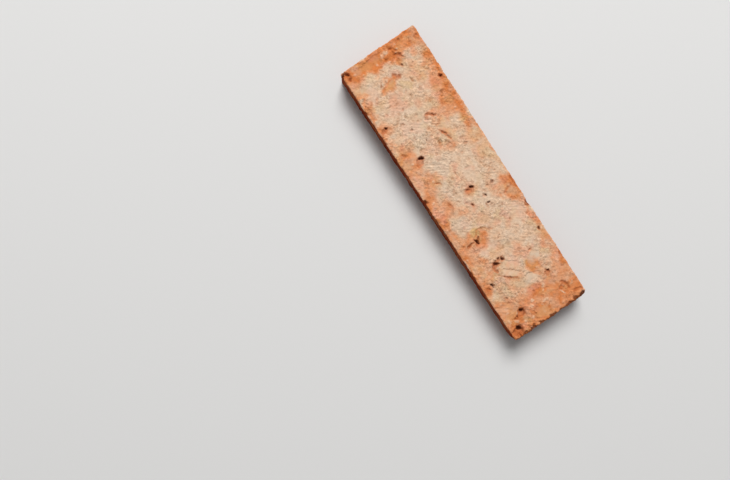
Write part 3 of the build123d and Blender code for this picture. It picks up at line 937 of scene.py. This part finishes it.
# %% Scatter the pale crumbs
DRAWN_CRUMBS = 190
CRUMB_HEIGHT = 0.22
PLACED_CRUMBS = [  # along, across, length, width, turn, paleness
    (221.8, 27, 3.4, 2.2, 60, 1.2), (227, 35, 4, 1.6, 100, 1), (229.6, 50, 4.6, 1.5, 30, 1.2),
    (232.4, 21.2, 2.6, 2.2, 0, 1), (232.2, 14.6, 2.6, 1.8, 40, 0.9), (212.2, 46, 2.4, 2.2, 0, 1.2),
    (238.6, 15.8, 1.8, 1.6, 0, 1), (8, 45, 2.4, 1.6, 60, 1.1), (9.8, 43, 2, 1.5, 0, 1),
    (184.6, 21.9, 1.9, 1.6, 0, 1.1), (6, 36.6, 3.6, 2.6, 20, 0.9), (187.6, 18.6, 2.6, 1.8, 150, 1),
]

loose_crumbs = list(PLACED_CRUMBS)
for _ in range(DRAWN_CRUMBS):
    place, size = drawn_place(), draw.uniform(0.9, 2.2)
    length, turn, paleness = size * draw.uniform(1, 1.8), draw.uniform(0, 180), draw.uniform(0.3, 1.0)
    loose_crumbs.append((*place, length, size, turn, paleness))
pale = np.zeros(len(point))
for *place, paleness in loose_crumbs:
    lump = ease(0.3, -0.4, outside(bent, *place)) * up
    height += CRUMB_HEIGHT * lump
    pale = np.maximum(pale, paleness * lump)
print("crumbs:", len(loose_crumbs))
print("relief, mm:", round(height.min(), 2), "to", round(height.max(), 2))

# %% [markdown]
# ## Finish the mesh
#
# The relief is applied along the outward direction, and the walls are roughened most at the tail,
# where the brick was struck off its neighbour. Then the squared-up blank is leaned into the real
# outline: each side of the face slides to its own width and each end takes its skew. The masks go
# along as attributes of the mesh, where the material can read them.

# %% Apply the relief
TALLEST = 0.5
WALL_RELIEF, TAIL_WALL_RELIEF = 0.30, 0.4
WALL_POCKS, POCK_GRIT = 0.5, 0.03

struck = (1 - up) * (WALL_RELIEF + TAIL_WALL_RELIEF * tail_share) * cloud(5, 3, seed=17)
height += struck - WALL_POCKS * below_face * (grit < POCK_GRIT)
height = np.minimum(height, TALLEST)
point += outward * height[:, None]
print("relief kept under", TALLEST, "mm")

# %% Lean the outline
along_share, across_share = point[:, 0] / LENGTH + 0.5, point[:, 1] / MEAN_WIDTH
head_lean = HEAD_SKEW * (1 - along_share) * (0.5 - across_share)
tail_lean = TAIL_SKEW * along_share * (0.5 + across_share)
point[:, 0] += head_lean - tail_lean
point[:, 1] = across_share * (HEAD_WIDTH + (TAIL_WIDTH - HEAD_WIDTH) * along_share)
slip_mesh.vertices.foreach_set("co", (point * MM).ravel())
print("outline, mm:", np.ptp(point, axis=0).round(1))

# %% Paint the masks
masks = {
    "lime": lime, "crease": crease, "stain": stain, "hollow": hollow, "side": below_face,
    "rough": rough, "pale": pale, **tint,
}
for name, values in masks.items():
    painted = slip_mesh.attributes.new(name, "FLOAT", "POINT")
    painted.data.foreach_set("value", values.astype(np.float32))
slip_mesh.update()
slip = put_in_scene("brick_slip_dressed", slip_mesh)
print("masks:", ", ".join(masks))

# %% [markdown]
# ## Fired clay with its lime film
#
# The film is seldom all there or all gone: it thins from cream through buff and peach to bare orange
# clay. So its painted thickness, frayed by noise down to the grain, runs through one ramp of colours
# taken from the real thing. Tints and crumbs go over it, and creases darken with dirt and painted shade.
# Hollows then turn it rusty, painted shade darkens their shaded parts, and the same noises feed the
# bump, so that colour and relief agree.

# %% Start the fired face
def fresh_material(name):
    """A new material, its shader, a wire to add nodes from and Object coordinates in millimetres."""
    material = bpy.data.materials.new(name)
    material.use_nodes = True
    start = Wire(material.node_tree)
    here_mm = start.node("ShaderNodeTexCoord", output="Object").vector("SCALE", 1 / MM)
    return material, material.node_tree.nodes["Principled BSDF"], start, here_mm


def grain(size, detail, roughness, coordinates):
    """Noise from 0 to 1 with lumps of this size in millimetres."""
    sockets = {"Vector": coordinates, "Scale": 1 / size, "Detail": detail, "Roughness": roughness}
    return coordinates.node("ShaderNodeTexNoise", {}, sockets)


def mask(name):
    """A painted mask of the mesh."""
    return start.node("ShaderNodeAttribute", {"attribute_name": name}, output="Fac")


fired_face, shader, start, here_mm = fresh_material("fired_face")
broad, middling = grain(16, 3, 0.55, here_mm), grain(4.2, 4, 0.55, here_mm)
small, sandy = grain(1.8, 4, 0.6, here_mm), grain(1.25, 2, 0.6, here_mm)
print("material:", fired_face.name)

# %% Colour the film
FILM_COLOURS = [  # thickness of the film, colour
    (0.0, (211, 125, 70)), (0.2, (217, 141, 93)), (0.4, (221, 157, 116)),
    (0.6, (223, 171, 135)), (0.8, (221, 183, 151)), (1.0, (222, 193, 166)),
]
FRAY_BROAD, FRAY_FINE = 0.26, 0.06
TINT_PAINTS = {"rose": (226, 158, 132), "ochre": (208, 172, 118), "grey": (204, 184, 162)}
TINT_STRENGTH = 0.5
PALE_CRUMB, CRUMB_STRENGTH = (238, 204, 172), 0.55


def paint(red, green, blue):
    """A colour written as 0 to 255 screen values, as the linear colour that a shader needs."""
    def linear(value):
        value /= 255
        return value / 12.92 if value <= 0.04045 else ((value + 0.055) / 1.055) ** 2.4
    return linear(red), linear(green), linear(blue), 1.0


thickness = mask("lime") + (middling - 0.5) * FRAY_BROAD + (small - 0.5) * FRAY_FINE
stops = [(at, paint(*shade)) for at, shade in FILM_COLOURS]
colour = thickness.node("ShaderNodeValToRGB", {"stops": stops}, {"Fac": thickness})
for name, shade in TINT_PAINTS.items():
    colour = (mask(name) * TINT_STRENGTH).mix(colour, paint(*shade))
colour = (mask("pale") * CRUMB_STRENGTH).mix(colour, paint(*PALE_CRUMB))
print("film colours:", len(stops), "and tints:", len(TINT_PAINTS))

# %% Colour the sides and the hollows
# the sides' own deep red clay, painted darker than it is when lit, as painted shade
SIDE_CLAY_AND_SHADE, SIDE_DUST_AND_SHADE = (136, 52, 22), (166, 92, 52)
CREASE_SHADE = (0.54, 0.42, 0.34)
RUST, RUST_LEAST, RUST_GRAIN = (176, 96, 52), 0.45, 0.5
PAINTED_SHADE_COLOUR, PAINTED_SHADE_STRENGTH = (58, 12, 2), 0.92

dusty = (broad * 0.6 + middling * 0.4).ease(0.46, 0.62)
colour = mask("side").mix(colour, dusty.mix(paint(*SIDE_CLAY_AND_SHADE), paint(*SIDE_DUST_AND_SHADE)))
# creases and marks darkened: partly dirt, partly painted shade
colour = mask("crease").mix(colour, colour.vector("MULTIPLY", CREASE_SHADE))
colour = (mask("stain") * (RUST_LEAST + small * RUST_GRAIN)).mix(colour, paint(*RUST))
# painted shade: the hollow mask darkens the shaded parts of pits, cracks, bites and the broken tail
colour = (mask("hollow").ease(0.05, 0.95) * PAINTED_SHADE_STRENGTH).mix(colour, paint(*PAINTED_SHADE_COLOUR))
print("nodes so far:", len(fired_face.node_tree.nodes))

# %% Grain the fired face
BRIGHTNESS = 1.035
SMOOTH_GRAIN, SMOOTH_BUMP = 0.25, 0.2  # the share of grain and of bump that a smooth crust keeps
SAND_CONTRAST, GRIT_CONTRAST = 0.7, 0.4
FLECK_LIGHT, SPECK_DARK = 0.24, 0.36
BUMP_STRENGTH, BUMP_HEIGHT, BUMP_GRAIN = 0.8, 0.7, 0.9
CLAY_ROUGHNESS, ROUGHNESS_GRAIN = 0.82, 0.16
CLAY_SPECULAR = 0.05

flecks = grain(1.7, 2, 0.6, here_mm.vector("ADD", (50, 20, 70))).ease(0.52, 0.74)
specks = grain(1.4, 2, 0.6, here_mm).ease(0.57, 0.75)
grainy = (sandy - 0.5) * SAND_CONTRAST + (small - 0.5) * GRIT_CONTRAST
grainy = grainy + flecks * FLECK_LIGHT - specks * SPECK_DARK
tone = BRIGHTNESS + (SMOOTH_GRAIN + mask("rough") * (1 - SMOOTH_GRAIN)) * grainy
surface = (SMOOTH_BUMP + mask("rough") * (1 - SMOOTH_BUMP)) * (small * BUMP_GRAIN + sandy * BUMP_GRAIN)
bump_sockets = {"Strength": BUMP_STRENGTH, "Distance": BUMP_HEIGHT * MM, "Height": surface}

colour.vector("SCALE", tone).feed(shader, "Base Color")
surface.node("ShaderNodeBump", {}, bump_sockets).feed(shader, "Normal")
(CLAY_ROUGHNESS + small * ROUGHNESS_GRAIN).feed(shader, "Roughness")
shader.inputs["Specular IOR Level"].default_value = CLAY_SPECULAR
slip_mesh.materials.append(fired_face)
print("nodes of the fired face:", len(fired_face.node_tree.nodes))

# %% [markdown]
# ## The sawn back
#
# A diamond blade leaves a flatter, fresher orange with grit and pores cut through, and faint arcs as
# wide as the blade that come and go. Rings of a wave texture centred far to one side give the arcs,
# and a broad noise fades them. Cells with a ragged edge give the grit.

# %% Lay out the sawn back
BLADE_CENTRE = (40, 260, 0)  # millimetres to the slip's middle
ARCS = {"Scale": 0.085, "Distortion": 1.6, "Detail": 2.0, "Detail Scale": 0.5}
GRIT_CELL, GRIT_RAGGED = 0.17, 0.5

sawn_back, sawn_shader, sawn_start, back_mm = fresh_material("sawn_back")
arc_sockets = {"Vector": back_mm.vector("ADD", BLADE_CENTRE), **ARCS}
rings = {"wave_type": "RINGS", "rings_direction": "Z"}
scored = sawn_start.node("ShaderNodeTexWave", rings, arc_sockets, "Fac")
scored = scored * grain(24, 2, 0.5, back_mm).ease(0.40, 0.62)
dust = grain(1.6, 4, 0.7, back_mm)
cells = sawn_start.node("ShaderNodeTexVoronoi", {}, {"Vector": back_mm, "Scale": GRIT_CELL}, "Distance")
cut_grit = 1.0 - (cells + (dust - 0.5) * GRIT_RAGGED).ease(0.08, 0.30)
pores = grain(3.2, 3, 0.6, back_mm.vector("ADD", (70, 10, 40))).ease(0.60, 0.67)
print("material:", sawn_back.name)

# %% Mix the sawn back
SAWN_CLAY, SAWN_DEEP = paint(203, 118, 74), paint(176, 92, 54)
SAWN_GRIT, SAWN_PORE = paint(225, 178, 140), paint(118, 54, 28)
SCORED_SHARE, DUST_SHARE, GRIT_SHARE, PORE_SHARE = 0.5, 0.45, 0.7, 0.85
ARC_RELIEF, DUST_RELIEF = 0.4, 0.5
CUT_STRENGTH, CUT_DEPTH = 0.4, 0.2
SAWN_ROUGHNESS, SAWN_SPECULAR = 0.85, 0.1

sawn = grain(15, 4, 0.6, back_mm).ease(0.38, 0.62).mix(SAWN_CLAY, SAWN_DEEP)
sawn = (scored * SCORED_SHARE).mix(sawn, SAWN_PORE)
sawn = (dust.ease(0.3, 0.75) * DUST_SHARE).mix(sawn, SAWN_GRIT)
sawn = (cut_grit * GRIT_SHARE).mix(sawn, SAWN_GRIT)
sawn = (pores * PORE_SHARE).mix(sawn, SAWN_PORE)
cut = scored * ARC_RELIEF + dust * DUST_RELIEF
cut_sockets = {"Strength": CUT_STRENGTH, "Distance": CUT_DEPTH * MM, "Height": cut}

sawn.feed(sawn_shader, "Base Color")
cut.node("ShaderNodeBump", {}, cut_sockets).feed(sawn_shader, "Normal")
sawn_shader.inputs["Roughness"].default_value = SAWN_ROUGHNESS
sawn_shader.inputs["Specular IOR Level"].default_value = SAWN_SPECULAR
slip_mesh.materials.append(sawn_back)
print("nodes of the sawn back:", len(sawn_back.node_tree.nodes))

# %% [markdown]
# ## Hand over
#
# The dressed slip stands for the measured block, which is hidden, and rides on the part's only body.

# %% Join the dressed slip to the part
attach(slip, "root")
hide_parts("brick_slip")
